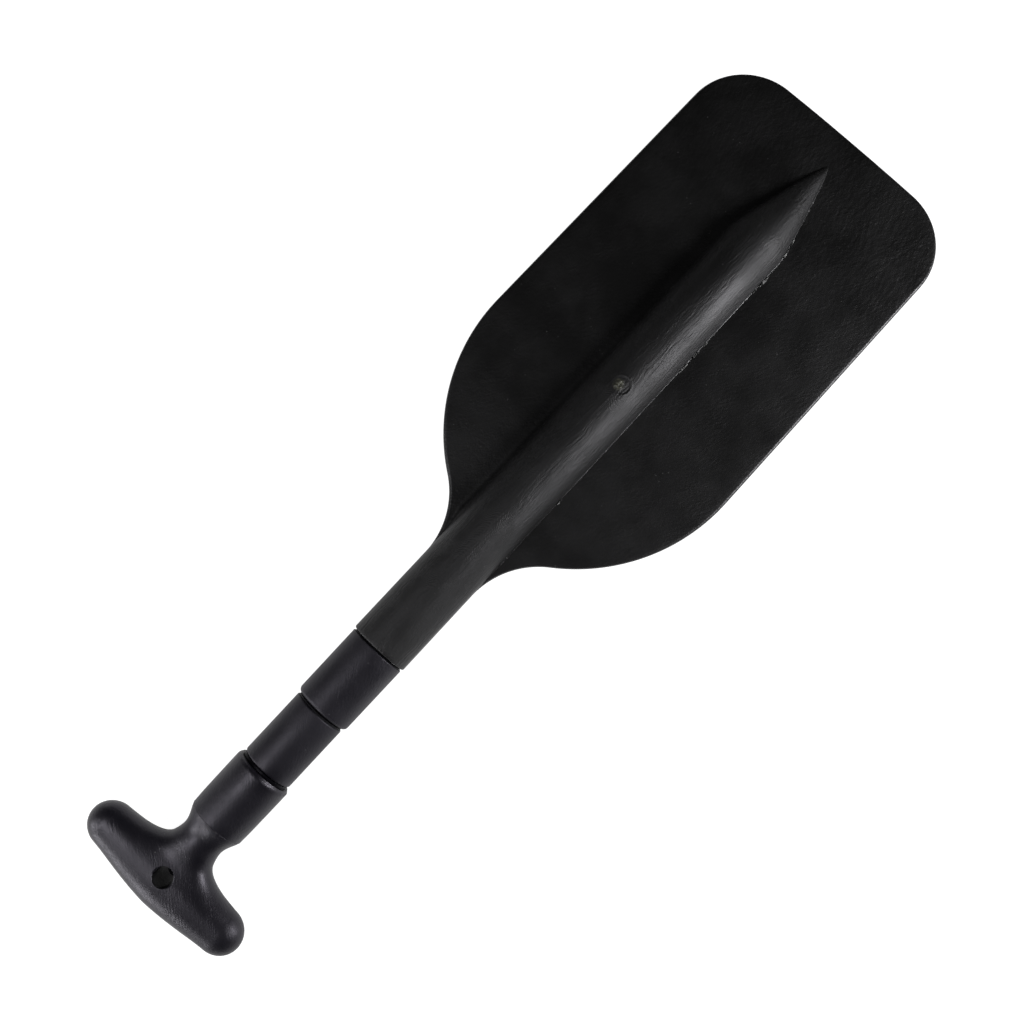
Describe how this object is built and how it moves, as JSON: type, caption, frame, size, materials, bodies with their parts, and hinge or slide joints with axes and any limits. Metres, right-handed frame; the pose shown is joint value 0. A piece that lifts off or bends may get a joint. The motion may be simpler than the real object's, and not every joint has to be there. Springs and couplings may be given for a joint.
{
  "type": "telescoping single blade paddle",
  "caption": "Short paddle with one ribbed flat blade, a T-grip with a lanyard hole, and tubes that telescope and twist to lock, stored collapsed.",
  "frame": {"origin": "under the middle of the collapsed paddle's length and width, on the ground that the spine rests on", "axes": "+X along the shaft from the T-grip to the blade's tip, +Y across the blade, +Z out of the blade's upper face"},
  "size_m": [0.508, 0.152, 0.031],
  "materials": {
    "blade_plastic": "matte black, finely streaked and grained by the moulding",
    "grip_plastic": "satin blue-black, polished by the hand along its ridges",
    "collar_plastic": "satin blue-black, lightly scuffed",
    "tube_aluminium": "drawn and clear anodised, with fine lengthwise draw lines",
    "cam_plastic": "moulded black",
    "ring_nylon": "natural nylon",
    "stainless": "bright stainless"
  },
  "bodies": {
    "blade_body": {"blade": "blade_plastic"},
    "outer_lock": {"outer_lock_ring": "ring_nylon"},
    "outer_section": {"outer_tube": "tube_aluminium", "outer_collar": "collar_plastic", "outer_cam_plug": "cam_plastic", "outer_lock_washer": "stainless", "outer_lock_screw": "stainless"},
    "middle_lock": {"middle_lock_ring": "ring_nylon"},
    "middle_section": {"middle_tube": "tube_aluminium", "middle_collar": "collar_plastic", "middle_cam_plug": "cam_plastic", "middle_lock_washer": "stainless", "middle_lock_screw": "stainless"},
    "inner_lock": {"inner_lock_ring": "ring_nylon"},
    "handle": {"inner_tube": "tube_aluminium", "t_grip": "grip_plastic", "inner_cam_plug": "cam_plastic", "inner_lock_washer": "stainless", "inner_lock_screw": "stainless"}
  },
  "joints": [
    {"name": "outer_slide", "type": "slide", "parent": "blade_body", "child": "outer_lock", "axis": [-1, 0, 0], "range_m": [0, 0.186]},
    {"name": "outer_twist", "type": "hinge", "parent": "outer_lock", "child": "outer_section", "pos_m": [0, 0, 0.0155], "axis": [1, 0, 0], "range_deg": [-90, 90]},
    {"name": "middle_slide", "type": "slide", "parent": "outer_section", "child": "middle_lock", "axis": [-1, 0, 0], "range_m": [0, 0.186]},
    {"name": "middle_twist", "type": "hinge", "parent": "middle_lock", "child": "middle_section", "pos_m": [0, 0, 0.0155], "axis": [1, 0, 0], "range_deg": [-90, 90]},
    {"name": "inner_slide", "type": "slide", "parent": "middle_section", "child": "inner_lock", "axis": [-1, 0, 0], "range_m": [0, 0.186]},
    {"name": "inner_twist", "type": "hinge", "parent": "inner_lock", "child": "handle", "pos_m": [0, 0, 0.0155], "axis": [1, 0, 0], "range_deg": [-90, 90]}
  ]
}
